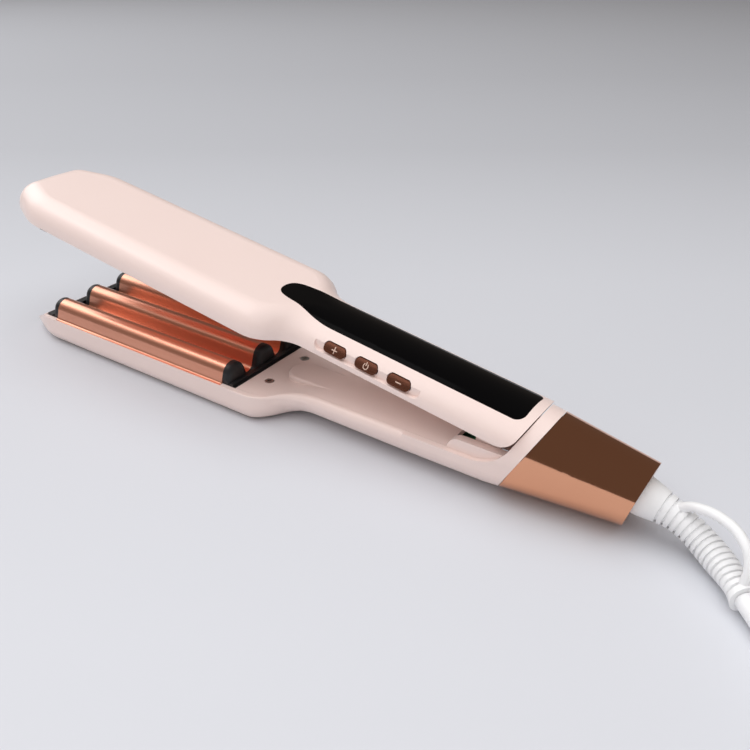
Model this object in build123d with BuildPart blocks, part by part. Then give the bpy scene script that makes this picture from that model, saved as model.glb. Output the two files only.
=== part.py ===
from build123d import *
import os
from math import asin, atan2, cos, degrees, hypot, radians, sin, sqrt, tan

# Hair waver: two hinged arms with meshing wave plates, a control panel on the upper arm
# and a mains cord on a swivel at the tail.
# Frame: X runs along the iron with the tip at -X, Y runs across it with the buttons at -Y,
# and Z is up from the table. The lower arm lies on the table. The upper arm is drawn
# closed, parallel to the lower one, and then turned open about the hinge pin.

# ---- stations along X, in mm
frame_tip_x = -126.5        # tip end of both plate frames
frame_length = 115.0        # a plate frame, end to end
nose_reach = 19.0           # shell in front of the plate frames
neck_gap = 5.0              # shell between a plate frame and the neck
neck_length = 21.4          # S-shaped narrowing from head to handle
neck_lead = 6.0             # straight stretch of the head that is lofted with the neck
neck_step = 2.0             # between the sections of the neck
section_change = 26.0       # length over which the head's section becomes the handle's
hinge_reach = 218.0         # from the frame's tip end back to the hinge pin

# ---- outlines
head_half_width = 25.0
handle_half_width = 15.5
nose_side_reach = 20.0      # from the nose back to where its sides reach full width
nose_front_half = 16.5      # half-width of the gently bowed front
nose_bow = 0.7
nose_land = 0.8             # flat of the lower nose in front of the plate frame
nose_tip_z = 2.5            # height of the lower nose's foremost point
nose_side_round = 26.0
nose_front_round = 10.5
nose_bow_round = 100.0
wall = 2.0                  # shell walls
rim_wall = 2.4              # wall beside the lower cover
fit_gap = 0.15              # between moulded pieces of one arm
motion_gap = 0.3            # between pieces that move past each other

# ---- heights
head_rim_z = 12.2           # lower shell's rim beside the plates
handle_rim_z = 14.7         # lower shell's rim along the handle
handle_floor_front = 2.3    # underside of the handle just behind the neck
handle_floor_rear = 1.5     # underside of the handle at the collar
lower_corner = 6.0          # rounding under the lower head
handle_rim_round = 2.5      # rounding of the handle's rim
upper_edge_z = 24.2         # upper shell's lower edge, arms closed
upper_top_z = 34.7          # upper shell's top, arms closed
upper_corner = 9.3          # rounding over the upper head
upper_handle_sink = 0.6     # the handle's rounding starts this much lower
keel_flat = 0.4             # half of the flat strip left in the middle of the round handle

# ---- wave plates
wave_pitch = 17.5
wave_height = 9.0
crest_radius = 4.8
valley_radius = 3.2
crest_z = 19.7
plate_thickness = 1.2
flange_thickness = 1.0
plate_mesh_gap = 0.45       # normal to the waves, arms closed
bar_length = 4.6            # stepped bar at the tip end of a plate frame
rear_bar_length = 2.9       # and at its handle end
end_wall_length = 3.8       # wave-shaped end wall between bar and plate
bar_rise = 1.0              # lower bars above the rim
bar_step = 1.2
end_wall_round = 2.2
frame_half_width = 22.8     # lower plate frame
upper_frame_half_width = 19.5
flange_half_width = 24.4
frame_floor = 1.0
frame_rail = 2.2
sensor_radius = 1.2
sensor_length = 9.0
lower_frame_base_z = 4.4
upper_frame_face_z = 19.3
mat_thickness = 0.5
heater_length = 78.0
heater_thickness = 3.6

# ---- hinge
pin_z = 17.2
pin_radius = 1.5
pin_fit = 0.02
pin_running_fit = 0.06
open_angle = 8.7
barrel_radius = 5.2
well_half_width = 10.4
cheek_half_width = 13.6
cheek_reach = 14.0          # from the pin towards the tip
cheek_top_z = 19.4
cheek_corner = 5.0
cheek_base_z = 9.0
pin_near_end = 12.8         # the pin stops inside the near cheek
spring_wire = 0.9
spring_turns = 4
spring_slot = 6.4           # width of the pocket between the two hinge knuckles

# ---- collar, end cap and swivel
collar_reach = 6.4          # from the pin back to the collar's front, at the pin's height
collar_band = 5.5
seam_gap = 0.2              # line between the collar and the end cap
collar_wall = 1.6
wire_window_width = 12.0
wire_window_height = 5.0
wire_window_z = 7.5
cap_length = 38.7           # at the pin's height
collar_slant = 28.8
cap_end_slant = 15.6
collar_front_top_z = 32.9
collar_rear_top_z = 31.9
collar_rear_half_width = 15.3
collar_rear_floor_z = 2.1
shoulder_high_z = 17.2      # above it the collar is half an ellipse
shoulder_low_z = 11.7       # below it the handle and collar are half an ellipse
cap_rear_radius = 11.4
cap_rear_z = 13.9
cap_wall = 1.8
cap_rear_wall = 2.4
cap_spigot = 3.6
spigot_wall = 1.2
sweep_radius = 16.5         # rise of the lower rim into the collar
rest_gap = 0.4              # between the open upper arm and the collar
upper_rear_corner = 8.0
hub_radius = 6.8
hub_flange_radius = 9.2
hub_flange_thickness = 2.0

# ---- screen and buttons
screen_tip = 4.7            # from the frame's handle end back to the screen's tip
screen_length = 106.6
screen_half_width = 9.3
screen_tip_length = 30.0
screen_rear_corner = 3.5
lens_thickness = 1.4
button_count = 3
button_pitch = 13.7
button_middle = 168.6       # from the frame's tip end back to the middle button
button_length = 9.3
button_height = 3.3
button_z = 28.6
button_travel = 0.6
panel_floor_y = 13.8        # flat floor of the shallow recess around the buttons
button_flange = 0.7
button_flange_thickness = 0.6
button_seat_y = 10.9        # inner face that the buttons' flanges stop against
panel_length = 45.0
panel_height = 5.0
display_length = 34.0
display_width = 13.0
display_setback = 52.0      # from the frame's handle end back to the display's middle
display_height = 2.2
control_board_length = 70.0
control_board_width = 15.0
switch_side_gap = 1.6       # the control board stands off centre, away from the switches
switch_height = 1.2
plunger_height = 0.6
plunger_radius = 1.0
board_thickness = 0.8

# ---- covers, screws, inner parts
cover_thickness = 2.0
cover_ledge = 0.5           # step that a cover's edge rests on
upper_cover_thickness = 1.8
tongue_half_width = 6.4
tongue_setback = 10.2       # from the frame's handle end back to the tongue's front
screw_setback = 7.2         # from the frame's handle end
screw_spread = 11.0
screw_bore = 2.0
screw_head_radius = 1.85
screw_shank_radius = 1.1
screw_head_height = 1.0
screw_length = 5.5
screw_head_drop = 0.6       # head sunk below the cover
boss_radius = 3.2
screw_thread_length = 5.0
rib_count = 4
rib_thickness = 1.6
power_board_length = 62.0
power_board_width = 17.0
power_board_thickness = 1.6
power_board_z = 6.6
relay_length = 12.0
relay_width = 10.0
capacitor_radius = 2.0
component_height = 3.2

# ---- strain relief, cord and plug: points from the swivel out to the table
boot_points = [(152.5, -0.8, 11.2), (163.5, -4.0, 7.2), (173.5, -12.0, 5.5), (179.0, -18.5, 5.0)]
boot_tip_heading = (0.69, -0.72, 0.0)
boot_shape = [(0.0, 6.8), (0.08, 6.3), (0.26, 4.9), (0.5, 4.75), (0.75, 4.6), (1.0, 4.5)]
slit_count = 16
slit_first = 0.17           # share of the boot's length at the first slit
slit_last = 0.95
slit_width = 0.8
slit_depth = 0.9
slit_top = 0.74             # share of the radius above which the boot is smooth
loop_points = [
    (151.3, -0.6, 12.5), (156.2, -1.7, 17.4), (163.8, -5.0, 20.4), (171.3, -9.2, 20.7),
    (176.4, -13.4, 18.2), (178.4, -16.2, 13.2), (177.2, -17.0, 6.5),
]
loop_radius = 1.6
cord_radius = 3.0
lead_points = [(188.7, -28.3, 3.6), (199.8, -38.2, 3.05), (209.3, -44.2, 3.0)]
hank_center = (239.3, -14.3)
hank_straight = 23.0        # between the centres of its two bends
hank_outer_radius = 39.3
hank_inner_radius = 14.7
hank_height = 12.1
hank_round = 3.0
tail_points = [
    (195.0, -2.0, 14.0), (195.0, -17.75, 16.0), (202.85, -31.35, 17.3), (216.45, -39.2, 18.4),
    (232.15, -39.3, 19.0),
]
plug_heading = (1, 0, 0)
plug_length = 35.0
plug_half_width = 13.0
plug_tail_half_width = 6.5
plug_thickness = 13.7
plug_shoulder = 20.0        # from the tail to where the body reaches full width
plug_edge_round = 2.0
plug_pin_radius = 2.0
plug_pin_length = 19.0
plug_pin_spacing = 18.6

# ---- values worked out from the ones above
frame_rear_x = frame_tip_x + frame_length
neck_x = frame_rear_x + neck_gap
head_rear_x = neck_x - neck_lead
handle_x = neck_x + section_change
pin_x = frame_tip_x + hinge_reach
collar_x = pin_x + collar_reach
seam_x = collar_x + collar_band
cap_end_x = seam_x + cap_length
nose_x = frame_tip_x - nose_reach
nose_top_x = frame_tip_x - nose_land
plate_tip_x = frame_tip_x + bar_length + end_wall_length
plate_length = frame_length - bar_length - rear_bar_length - 2 * end_wall_length
plate_rear_x = plate_tip_x + plate_length
ramp_x = neck_x + 6.0
ramp_length = 24.0
cover_rear_x = pin_x - cheek_reach - 0.5
straight_x = cover_rear_x - sweep_radius
screw_x = frame_rear_x + screw_setback
tongue_x = frame_rear_x + tongue_setback
display_x = frame_rear_x + display_setback
upper_frame_floor_z = crest_z + plate_mesh_gap + plate_thickness + heater_thickness + mat_thickness
upper_frame_top_z = upper_frame_floor_z + frame_floor
power_board_x = (handle_x + cover_rear_x) / 2
hinge_axis = Axis((pin_x, 0, pin_z), (0, 1, 0))


def smooth(share):
    """Eased step from 0 to 1."""
    share = min(max(share, 0.0), 1.0)
    return share * share * (3 - 2 * share)


def arm_half_width(x):
    """Plan half-width of both arms: head, two tangent arcs, handle."""
    half_run = neck_length / 2
    half_drop = (head_half_width - handle_half_width) / 2
    radius = (half_run ** 2 + half_drop ** 2) / (2 * half_drop)
    along = min(max(x - neck_x, 0.0), neck_length)
    if along < half_run:
        return head_half_width - radius + sqrt(radius ** 2 - along ** 2)
    return handle_half_width + radius - sqrt(radius ** 2 - (neck_length - along) ** 2)


def rim_z(x):
    return head_rim_z + (handle_rim_z - head_rim_z) * smooth((x - ramp_x) / ramp_length)


def floor_z(x):
    """Underside of the lower arm: flat under the head, lifted and gently falling behind it."""
    share = (x - handle_x) / (straight_x - handle_x)
    handle_floor = handle_floor_front + (handle_floor_rear - handle_floor_front) * share
    return handle_floor * smooth((x - neck_x) / section_change)


def slanted_plane(x, slant):
    """Plane across the arm that crosses the pin's height at x and leans back by slant."""
    lean = radians(slant)
    return Plane(origin=(x, 0, pin_z), x_dir=(0, 1, 0), z_dir=(cos(lean), 0, -sin(lean)))


def quarter(center_y, center_z, radius_y, radius_z, start):
    EllipticalCenterArc((center_y, center_z), radius_y, radius_z, start, arc_size=90)


def lower_section(x, inset, rise):
    """Section of the lower arm: flat rim, rounded rim edges, sides and rounded underside."""
    change = smooth((x - neck_x) / section_change)
    half = arm_half_width(x) - inset
    top = rim_z(x) + rise
    rim_round = 0.3 + (handle_rim_round - 0.3) * change
    outer_floor = floor_z(x)
    bottom = outer_floor + inset
    shoulder = shoulder_low_z if change >= 1 else (
        outer_floor + lower_corner + (shoulder_low_z - outer_floor - lower_corner) * change)
    corner_y = lower_corner - inset + (half - keel_flat - lower_corner + inset) * change
    corner_z = shoulder - bottom
    with BuildSketch(Plane.YZ.offset(x)) as section:
        with BuildLine():
            Line((half, shoulder), (half, top - rim_round))
            quarter(half - rim_round, top - rim_round, rim_round, rim_round, 0)
            Line((half - rim_round, top), (rim_round - half, top))
            quarter(rim_round - half, top - rim_round, rim_round, rim_round, 90)
            Line((-half, top - rim_round), (-half, shoulder))
            quarter(corner_y - half, shoulder, corner_y, corner_z, 180)
            Line((corner_y - half, bottom), (half - corner_y, bottom))
            quarter(half - corner_y, shoulder, corner_y, corner_z, 270)
        make_face()
    return section.sketch


def upper_section(x, inset, drop):
    """Section of the upper arm, arms closed: flat underside and rounded top."""
    change = smooth((x - neck_x) / section_change)
    half = arm_half_width(x) - inset
    top = upper_top_z - inset
    bottom = upper_edge_z - drop
    shoulder = upper_top_z - upper_corner - upper_handle_sink * change
    corner_y = upper_corner - inset + (half - keel_flat - upper_corner + inset) * change
    corner_z = top - shoulder
    with BuildSketch(Plane.YZ.offset(x)) as section:
        with BuildLine():
            Line((half, bottom), (half, shoulder))
            quarter(half - corner_y, shoulder, corner_y, corner_z, 0)
            Line((half - corner_y, top), (corner_y - half, top))
            quarter(corner_y - half, shoulder, corner_y, corner_z, 90)
            Line((-half, shoulder), (-half, bottom))
            Line((-half, bottom), (half, bottom))
        make_face()
    return section.sketch


def nose_outline():
    """Plan of the head from the bowed nose back to where the neck's loft starts."""
    side_x = nose_x + nose_side_reach
    front_x = nose_x + nose_bow
    with BuildSketch() as outline:
        with BuildLine():
            edge = FilletPolyline(
                (head_rear_x, head_half_width),
                (side_x, head_half_width),
                (front_x, nose_front_half),
                (nose_x, 0),
                (front_x, -nose_front_half),
                (side_x, -head_half_width),
                (head_rear_x, -head_half_width),
                radius=[nose_side_round, nose_front_round, nose_bow_round, nose_front_round, nose_side_round],
            )
            Line(edge @ 1, edge @ 0)
        make_face()
    return outline.sketch


def arm_form(section, inset, shift, start, stop):
    """Moulded form of an arm from start back to stop, taken in by inset."""
    lead_steps = 3
    neck_steps = round(section_change / neck_step) + 2
    places = [start + (neck_x - start) * step / lead_steps for step in range(lead_steps)]
    places += [neck_x + neck_step * step for step in range(neck_steps)]
    neck = [section(x, inset, shift) for x in places]
    rear = section(straight_x, inset, shift)
    with BuildPart() as form:
        loft(neck)
        loft([neck[-1], rear], ruled=True)
        extrude(rear, amount=stop - straight_x)
    return form.part


def collar_section(plane, half, top, high, low, floor, inset):
    """Closed section of the collar or end cap on a slanted plane."""
    lean = sqrt(1 - plane.z_dir.Z ** 2)
    upper = (high - pin_z) / lean
    lower = (low - pin_z) / lean
    crown = (top - inset - pin_z) / lean - upper
    keel = lower - (floor + inset - pin_z) / lean
    side = half - inset
    with BuildSketch(plane) as section:
        with BuildLine():
            Line((side, lower), (side, upper))
            quarter(keel_flat, upper, side - keel_flat, crown, 0)
            Line((keel_flat, upper + crown), (-keel_flat, upper + crown))
            quarter(-keel_flat, upper, side - keel_flat, crown, 90)
            Line((-side, upper), (-side, lower))
            quarter(-keel_flat, lower, side - keel_flat, keel, 180)
            Line((-keel_flat, lower - keel), (keel_flat, lower - keel))
            quarter(keel_flat, lower, side - keel_flat, keel, 270)
        make_face()
    return section.sketch


def collar_front_section(inset, reach=0.0):
    plane = slanted_plane(collar_x + reach, collar_slant)
    share = reach / collar_band
    return collar_section(
        plane,
        handle_half_width + (collar_rear_half_width - handle_half_width) * share,
        collar_front_top_z + (collar_rear_top_z - collar_front_top_z) * share,
        shoulder_high_z,
        shoulder_low_z,
        handle_floor_rear + (collar_rear_floor_z - handle_floor_rear) * share,
        inset,
    )


def cap_rear_section(inset, reach=0.0):
    plane = slanted_plane(cap_end_x + reach, cap_end_slant)
    return collar_section(
        plane, cap_rear_radius, cap_rear_z + cap_rear_radius, cap_rear_z + 0.2, cap_rear_z - 0.2,
        cap_rear_z - cap_rear_radius, inset,
    )


def wave_flank():
    """Angle of the straight flanks between crest and valley arcs."""
    half_pitch = wave_pitch / 2
    radii = crest_radius + valley_radius
    reach = hypot(half_pitch, wave_height - radii)
    return atan2(wave_height - radii, half_pitch) + asin(radii / reach)


def wave_line(depth, crests, foot_z, foot_y, foot_round):
    """Wave across the plate, depth below its top: corner points and corner radii."""
    flank = wave_flank()
    crest_corner = crest_z - crest_radius + (crest_radius - depth) / cos(flank)
    valley_corner = crest_z - wave_height + valley_radius - (valley_radius + depth) / cos(flank)
    points = []
    radii = []
    first = -(crests - 1) / 2 * wave_pitch
    for ridge in range(crests):
        y = first + ridge * wave_pitch
        points.append((y, crest_corner))
        radii.append(crest_radius - depth)
        if ridge < crests - 1:
            points.append((y + wave_pitch / 2, valley_corner))
            radii.append(valley_radius + depth)
    toe = (crest_corner - foot_z) / tan(flank)
    last = -first
    points = [(-foot_y, foot_z), (first - toe, foot_z)] + points + [(last + toe, foot_z), (foot_y, foot_z)]
    radii = [foot_round] + radii + [foot_round]
    return points, radii


def ramp_outline(bottom, clearance):
    """Side view of the lower cover: its top follows the rising rim."""
    front = frame_rear_x + fit_gap - clearance
    rear = cover_rear_x + clearance
    with BuildSketch(Plane.XZ) as outline:
        with BuildLine():
            rise = Spline((ramp_x, head_rim_z), (ramp_x + ramp_length, handle_rim_z), tangents=((1, 0), (1, 0)))
            Polyline(
                rise @ 1,
                (rear, handle_rim_z),
                (rear, handle_rim_z - bottom - clearance),
                (ramp_x + ramp_length, handle_rim_z - bottom - clearance),
                (ramp_x, head_rim_z - bottom - clearance),
                (front, head_rim_z - bottom - clearance),
                (front, head_rim_z),
                rise @ 0,
            )
        make_face()
    return outline.sketch


def cover_plan(start, stop, inset):
    """Plan of a cover: the arm's outline taken in by inset."""
    steps = 8
    bend = [
        (neck_x + neck_length * step / steps, arm_half_width(neck_x + neck_length * step / steps) - inset)
        for step in range(steps + 1)
    ]
    with BuildSketch() as outline:
        with BuildLine():
            near = Spline(*[(x, -y) for x, y in bend], tangents=((1, 0), (1, 0)))
            far = Spline(*bend, tangents=((1, 0), (1, 0)))
            Polyline(
                far @ 1, (stop, handle_half_width - inset), (stop, inset - handle_half_width), near @ 1)
            Polyline(
                far @ 0, (start, head_half_width - inset), (start, inset - head_half_width), near @ 0)
        make_face()
    return outline.sketch


def upper_wave_line(depth):
    """Underside of the upper plate: it follows the lower waves and runs flat past them."""
    flank = wave_flank()
    crest_corner = crest_z - crest_radius + (crest_radius - depth) / cos(flank)
    valley_corner = crest_z - wave_height + valley_radius - (valley_radius + depth) / cos(flank)
    flat_z = crest_z - depth
    shoulder_y = wave_pitch - (crest_corner - flat_z) / tan(flank)
    points = [
        (-upper_frame_half_width, flat_z), (-shoulder_y, flat_z), (-wave_pitch / 2, valley_corner),
        (0, crest_corner), (wave_pitch / 2, valley_corner), (shoulder_y, flat_z),
        (upper_frame_half_width, flat_z),
    ]
    crest = crest_radius - depth
    valley = valley_radius + depth
    return points, [crest, valley, crest, valley, crest]


def end_wall(plate_end_x, line, close_z, outer_side, length):
    """Wave-shaped wall at one end of a plate, with its outer edge rounded."""
    with BuildPart() as block:
        extrude(wave_section(plate_end_x, line, close_z), amount=outer_side * length)
        outer_face = block.faces().sort_by(Axis.X)[0 if outer_side < 0 else -1]
        fillet(outer_face.edges().filter_by(GeomType.CIRCLE)[0], end_wall_round)
    return block.part


def wave_section(x, line, close_z):
    """Filled wave from its line to a flat level."""
    points, radii = line
    with BuildSketch(Plane.YZ.offset(x)) as outline:
        with BuildLine():
            top = FilletPolyline(*points, radius=radii)
            Polyline(top @ 1, (points[-1][0], close_z), (points[0][0], close_z), top @ 0)
        make_face()
    return outline.sketch


# ---- lower shell: head tray, neck, handle trough, hinge cheeks and collar in one moulding
collar_plane = slanted_plane(collar_x, collar_slant)
lower_outer = arm_form(lower_section, 0.0, 0.0, head_rear_x, collar_x + 12.0)
lower_inner = arm_form(lower_section, rim_wall + cover_ledge, 6.0, frame_rear_x + wall + fit_gap, collar_x + 12.0)

with BuildPart() as head_pocket:
    with BuildSketch(Plane.XY.offset(wall)):
        with Locations((frame_tip_x + frame_length / 2, 0)):
            Rectangle(frame_length + 2 * fit_gap, 2 * (frame_half_width + fit_gap))
    extrude(amount=2 * head_rim_z)
    fillet(head_pocket.edges().group_by(Axis.Z)[0], lower_corner - wall)

with BuildPart() as cover_pocket:
    for rise in (0.0, cover_thickness / 2):
        extrude(
            ramp_outline(cover_thickness, fit_gap).move(Location((0, 0, rise))),
            amount=head_half_width, both=True)
    extrude(
        cover_plan(frame_rear_x, cover_rear_x + fit_gap, rim_wall),
        amount=2 * handle_rim_z, mode=Mode.INTERSECT)

with BuildPart() as lower_shell:
    extrude(nose_outline(), amount=head_rim_z)
    under_edges = edges().group_by(Axis.Z)[0].filter_by_position(Axis.X, nose_x - 1, head_rear_x - 0.5)
    fillet(under_edges, lower_corner)
    # the nose falls away in a straight slope in front of the plate frame
    with BuildSketch(Plane.XZ):
        with BuildLine():
            Polyline(
                (nose_top_x, head_rim_z), (nose_x, nose_tip_z), (nose_x - wall, nose_tip_z),
                (nose_x - wall, upper_edge_z), (nose_top_x, upper_edge_z), close=True)
        make_face()
    extrude(amount=2 * head_half_width, both=True, mode=Mode.SUBTRACT)
    add(lower_outer)
    # the sides rise behind the handle in a long sweep to the collar's slanted front
    with BuildSketch(Plane.YZ.offset(straight_x)):
        with BuildLine():
            crown = collar_front_top_z - shoulder_high_z
            half_crown = handle_half_width - keel_flat
            Line((handle_half_width, shoulder_low_z), (handle_half_width, shoulder_high_z))
            quarter(keel_flat, shoulder_high_z, half_crown, crown, 0)
            Line((keel_flat, collar_front_top_z), (-keel_flat, collar_front_top_z))
            quarter(-keel_flat, shoulder_high_z, half_crown, crown, 90)
            Polyline(
                (-handle_half_width, shoulder_high_z),
                (-handle_half_width, shoulder_low_z),
                (handle_half_width, shoulder_low_z),
            )
        make_face()
    extrude(amount=collar_x + collar_front_top_z - straight_x)
    lean = tan(radians(collar_slant))
    low_corner_x = collar_x + (handle_rim_z - pin_z) * lean
    high_corner_x = collar_x + (collar_front_top_z - pin_z) * lean
    with BuildSketch(Plane.XZ):
        with BuildLine():
            sweep_line = FilletPolyline(
                (cover_rear_x - 2 * sweep_radius, handle_rim_z),
                (low_corner_x, handle_rim_z),
                (high_corner_x, collar_front_top_z),
                radius=sweep_radius,
            )
            Polyline(
                sweep_line @ 1,
                (high_corner_x, 2 * collar_front_top_z),
                (cover_rear_x - 2 * sweep_radius, 2 * collar_front_top_z),
                sweep_line @ 0,
            )
        make_face()
    extrude(amount=2 * head_half_width, both=True, mode=Mode.SUBTRACT)
    with BuildSketch(Plane.XY.offset(handle_rim_z)):
        with Locations((pin_x, 0)):
            Rectangle(4 * cheek_reach, 2 * cheek_half_width)
    extrude(amount=2 * pin_z, mode=Mode.SUBTRACT)
    add(lower_inner, mode=Mode.SUBTRACT)
    # cheeks that carry the hinge pin
    with BuildSketch(Plane.XZ):
        with BuildLine():
            cheek_line = FilletPolyline(
                (pin_x - cheek_reach, cheek_base_z),
                (pin_x - cheek_reach, cheek_top_z),
                (pin_x + cheek_reach, cheek_top_z),
                radius=cheek_corner,
            )
            Polyline(cheek_line @ 1, (pin_x + cheek_reach, cheek_base_z), cheek_line @ 0)
        make_face()
    extrude(amount=cheek_half_width, both=True)
    with BuildSketch(Plane.XY.offset(floor_z(pin_x) + wall + 1.0)):
        with Locations((pin_x, 0)):
            Rectangle(2 * cheek_reach + 1.0, 2 * well_half_width)
    extrude(amount=2 * pin_z, mode=Mode.SUBTRACT)
    split(bisect_by=collar_plane, keep=Keep.BOTTOM)
    # collar ring with its front wall and a window for the wires
    loft([collar_front_section(0.0), collar_front_section(0.0, collar_band)], ruled=True)
    loft(
        [collar_front_section(wall, collar_wall), collar_front_section(wall, collar_band + 1.0)],
        ruled=True, mode=Mode.SUBTRACT)
    with BuildSketch(Plane.YZ.offset(collar_x - wire_window_height)):
        with Locations((0, wire_window_z)):
            Rectangle(wire_window_width, wire_window_height)
    extrude(amount=2 * wire_window_height, mode=Mode.SUBTRACT)
    add(head_pocket.part, mode=Mode.SUBTRACT)
    add(cover_pocket.part, mode=Mode.SUBTRACT)
    with BuildSketch(Plane.XY.offset(head_rim_z - flange_thickness)):
        with Locations((plate_tip_x + plate_length / 2, 0)):
            Rectangle(plate_length + 2 * fit_gap, 2 * (flange_half_width + fit_gap))
    extrude(amount=head_rim_z, mode=Mode.SUBTRACT)
    # ribs under the plate frame, bosses for the cover's screws, posts for the power board
    with BuildSketch(Plane.XY.offset(wall - 0.5)):
        with Locations((frame_tip_x + frame_length / 2, 0)):
            with GridLocations(frame_length / (rib_count + 1), 1, rib_count, 1):
                Rectangle(rib_thickness, 2 * (frame_half_width - lower_corner))
    extrude(amount=lower_frame_base_z - fit_gap - wall + 0.5)
    with BuildSketch(Plane.XY.offset(wall - 0.5)):
        with Locations((screw_x, screw_spread), (screw_x, -screw_spread)):
            Circle(boss_radius)
    extrude(amount=head_rim_z - cover_thickness - fit_gap - wall + 0.5)
    with Locations(
        (screw_x, screw_spread, head_rim_z - cover_thickness - fit_gap),
        (screw_x, -screw_spread, head_rim_z - cover_thickness - fit_gap),
    ):
        Hole(screw_shank_radius + 0.05, screw_thread_length)
    with BuildSketch(Plane.XY.offset(floor_z(power_board_x) + wall)):
        with Locations((power_board_x, 0)):
            with GridLocations(power_board_length - 2 * boss_radius, power_board_width - 2 * boss_radius, 2, 2):
                Circle(boss_radius - 1.0)
    extrude(amount=power_board_z - floor_z(power_board_x) - wall)
    # pin bore: blind on the button side, through on the far side
    with BuildSketch(Plane.XZ.offset(pin_near_end)):
        with Locations((pin_x, pin_z)):
            Circle(pin_radius + pin_fit)
    extrude(amount=-pin_near_end - 2 * handle_half_width, mode=Mode.SUBTRACT)
lower_shell.part.label = "lower_shell"

# ---- lower cover: inner panel of the handle with its raised tongue
with BuildPart() as tongue:
    with BuildSketch(Plane.XY.offset(head_rim_z - 0.5)):
        with Locations((tongue_x + tongue_half_width, 0)):
            Circle(tongue_half_width)
            Rectangle(ramp_length, 2 * tongue_half_width, align=(Align.MIN, Align.CENTER))
    extrude(amount=handle_rim_z - head_rim_z + 0.5)
    fillet(tongue.edges().group_by(Axis.Z)[-1].filter_by_position(Axis.X, tongue_x, tongue_x + ramp_length), 0.8)

with BuildPart() as lower_cover:
    extrude(ramp_outline(cover_thickness, 0.0), amount=head_half_width, both=True)
    extrude(
        cover_plan(frame_rear_x, cover_rear_x, rim_wall + fit_gap),
        amount=2 * handle_rim_z, mode=Mode.INTERSECT)
    add(tongue.part)
    with Locations((screw_x, screw_spread, head_rim_z), (screw_x, -screw_spread, head_rim_z)):
        CounterBoreHole(screw_shank_radius + 0.1, screw_bore, screw_head_drop + 0.4, 2 * cover_thickness)
lower_cover.part.label = "lower_cover"


def screw(x, y, seat_z, up):
    """Pan-head screw with a cross recess, its head seated at seat_z and its point away from up."""
    axis = Plane(origin=(x, y, seat_z), z_dir=(0, 0, up))
    with BuildPart() as fastener:
        with BuildSketch(axis):
            Circle(screw_head_radius)
        extrude(amount=screw_head_height)
        fillet(fastener.edges().sort_by(Axis((x, y, seat_z), (0, 0, up)))[-1:], screw_head_height / 3)
        with BuildSketch(axis.offset(screw_head_height)):
            Rectangle(2 * screw_head_radius * 0.62, 0.5)
            Rectangle(0.5, 2 * screw_head_radius * 0.62)
        extrude(amount=-screw_head_height / 2, mode=Mode.SUBTRACT)
        with BuildSketch(axis):
            Circle(screw_shank_radius)
        extrude(amount=-screw_length)
    return fastener.part


cover_seat_z = head_rim_z - screw_head_drop - 0.4
with BuildPart() as lower_screws:
    for side in (-1, 1):
        add(screw(screw_x, side * screw_spread, cover_seat_z, 1))
lower_screws.part.label = "lower_screws"

# ---- lower plates: black frame, wave plate, heater, mica sheet and sensor
lower_line = wave_line(0.0, 3, head_rim_z, flange_half_width, 1.0)
lower_underside = wave_line(
    plate_thickness, 3, head_rim_z - flange_thickness, flange_half_width, 0.6)
with BuildPart() as lower_plate_frame:
    with BuildSketch(Plane.XY.offset(lower_frame_base_z)):
        with Locations((frame_tip_x + frame_length / 2, 0)):
            Rectangle(frame_length, 2 * frame_half_width)
    extrude(amount=head_rim_z + bar_rise - lower_frame_base_z)
    chamfer(edges().group_by(Axis.Z)[0], 1.0)
    with BuildSketch(Plane.XY.offset(head_rim_z - flange_thickness)):
        with Locations((plate_tip_x + plate_length / 2, 0)):
            Rectangle(plate_length + 2 * end_wall_length, 2 * flange_half_width)
    extrude(amount=bar_rise + flange_thickness, mode=Mode.SUBTRACT)
    with BuildSketch(Plane.XY.offset(head_rim_z - 0.2)):
        with Locations((frame_tip_x, 0), (frame_rear_x, 0)):
            Rectangle(2 * bar_step, 2 * frame_half_width)
    extrude(amount=2 * bar_rise, mode=Mode.SUBTRACT)
    with BuildSketch(Plane.XY.offset(lower_frame_base_z + frame_floor)):
        with Locations((plate_tip_x + plate_length / 2, 0)):
            Rectangle(plate_length + 2 * end_wall_length, 2 * (frame_half_width - frame_rail))
    extrude(amount=head_rim_z, mode=Mode.SUBTRACT)
    with BuildPart(mode=Mode.PRIVATE) as walls:
        for plate_end_x, side in ((plate_tip_x, -1), (plate_rear_x, 1)):
            add(end_wall(plate_end_x, lower_line, lower_frame_base_z + frame_floor, side, end_wall_length))
        with BuildSketch(Plane.XY):
            with Locations((frame_tip_x + frame_length / 2, 0)):
                Rectangle(frame_length, 2 * frame_half_width)
        extrude(amount=2 * crest_z, mode=Mode.INTERSECT)
    add(walls.part)
lower_plate_frame.part.label = "lower_plate_frame"

with BuildPart() as lower_wave_plate:
    extrude(wave_section(plate_tip_x, lower_line, lower_frame_base_z), amount=plate_length)
    extrude(
        wave_section(plate_tip_x, lower_underside, lower_frame_base_z),
        amount=plate_length, mode=Mode.SUBTRACT)
lower_wave_plate.part.label = "lower_wave_plate"

heater_x = plate_tip_x + plate_length / 2
heater_width = wave_pitch + 2 * valley_radius
lower_mat_z = lower_frame_base_z + frame_floor
with BuildPart() as lower_mica_sheet:
    with BuildSketch(Plane.XY.offset(lower_mat_z)):
        with Locations((heater_x, 0)):
            RectangleRounded(heater_length + 8.0, heater_width + 6.0, 2.0)
    extrude(amount=mat_thickness)
lower_mica_sheet.part.label = "lower_mica_sheet"

valley_underside_z = crest_z - wave_height - plate_thickness
with BuildPart() as lower_heater:
    with BuildSketch(Plane.XY.offset(lower_mat_z + mat_thickness)):
        with Locations((heater_x, 0)):
            RectangleRounded(heater_length, heater_width, 1.0)
    extrude(amount=valley_underside_z - lower_mat_z - mat_thickness)
lower_heater.part.label = "lower_heater"

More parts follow.
